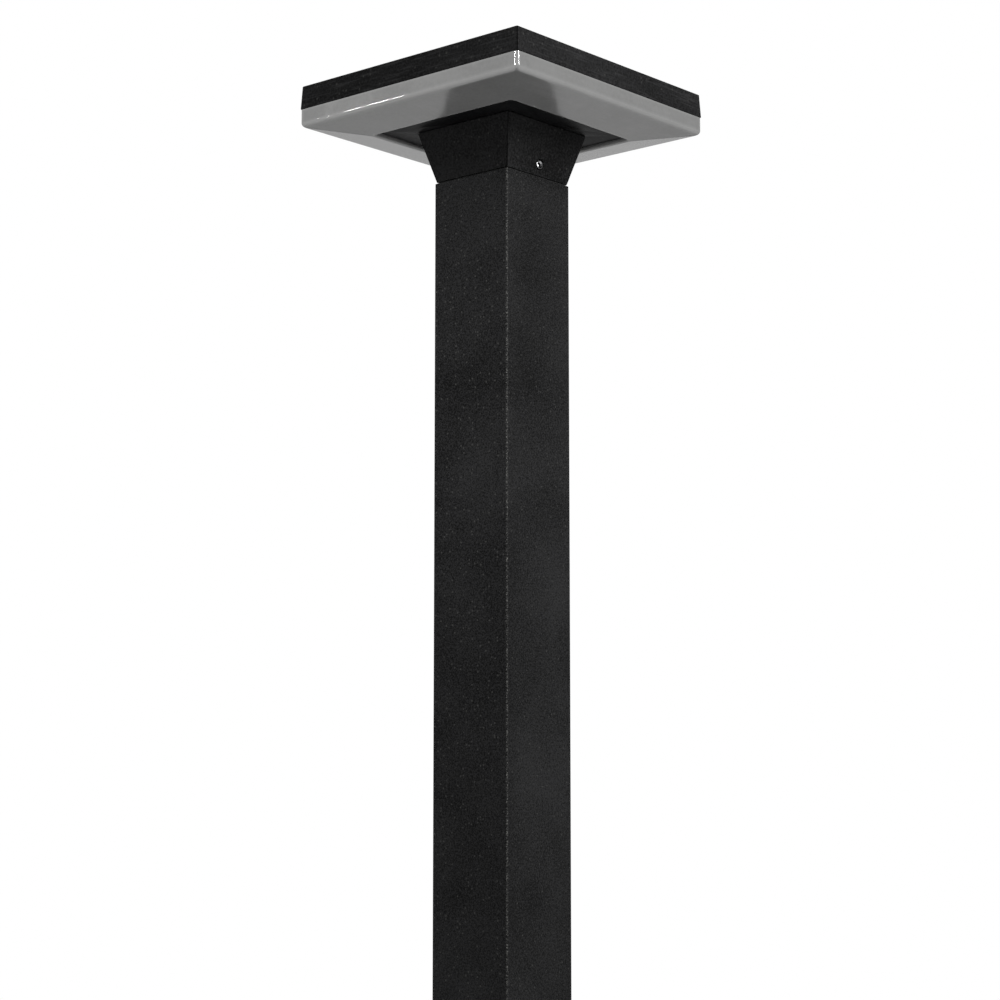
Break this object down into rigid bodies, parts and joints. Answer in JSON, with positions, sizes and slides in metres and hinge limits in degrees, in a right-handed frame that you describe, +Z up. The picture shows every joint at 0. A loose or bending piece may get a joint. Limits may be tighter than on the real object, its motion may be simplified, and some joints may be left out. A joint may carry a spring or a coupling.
{
  "type": "bollard light",
  "caption": "Square black bollard light with a flat overhanging head, an opal light ring under its cap and a flared neck, on a square post with a foot plate.",
  "frame": {"origin": "centre of the foot plate's underside, on the floor and on the post's axis", "axes": "+Z up along the post, -Y and +X square to two neighbouring faces of the post, the set screws on the +X and -X faces of the neck"},
  "size_m": [0.24, 0.24, 1.2],
  "materials": {
    "black_coat": "fine-textured black powder coat on aluminium",
    "dark_plate": "smooth dark grey coated aluminium",
    "opal_acrylic": "glossy opal acrylic, grey-white when unlit",
    "stainless": "plain stainless steel fasteners",
    "bare_aluminium": "mill-finish aluminium",
    "rubber": "matt black EPDM gasket",
    "white_paint": "white reflecting plastic",
    "circuit_board": "white solder mask with yellow LED packages",
    "driver_case": "pale grey moulded case",
    "terminal_plastic": "cream moulded nylon",
    "black_nylon": "black moulded nylon",
    "earth_sleeve": "green lead sleeve with a yellow stripe",
    "lead_sleeve": "grey lead sleeve"
  },
  "bodies": {
    "standing_post": {"base_plate": "black_coat", "base_weld": "black_coat", "post": "black_coat", "post_spigot": "bare_aluminium", "neck_seal": "rubber"},
    "lamp_head": {"neck": "black_coat", "set_screw_right": "stainless", "set_screw_left": "stainless", "head_screw_1": "stainless", "head_screw_2": "stainless", "head_screw_3": "stainless", "head_screw_4": "stainless", "recess_plate": "dark_plate", "lip_gasket": "rubber", "diffuser": "opal_acrylic", "rim_gasket": "rubber", "cap": "black_coat", "led_tray": "bare_aluminium", "inner_reflector": "white_paint", "tray_screw_1": "stainless", "tray_screw_2": "stainless", "tray_screw_3": "stainless", "tray_screw_4": "stainless", "led_board_front": "circuit_board", "led_board_right": "circuit_board", "led_board_back": "circuit_board", "led_board_left": "circuit_board", "driver": "driver_case", "driver_screw_right": "stainless", "driver_screw_left": "stainless", "terminal_block": "terminal_plastic", "cable_gland": "black_nylon", "gland_locknut": "black_nylon", "earth_washer": "stainless", "earth_screw": "stainless", "earth_lead": "earth_sleeve", "driver_lead": "lead_sleeve", "led_lead": "lead_sleeve"}
  },
  "joints": [
    {"name": "head_lift", "type": "slide", "parent": "standing_post", "child": "lamp_head", "axis": [0, 0, 1], "range_m": [0, 0.08]}
  ]
}
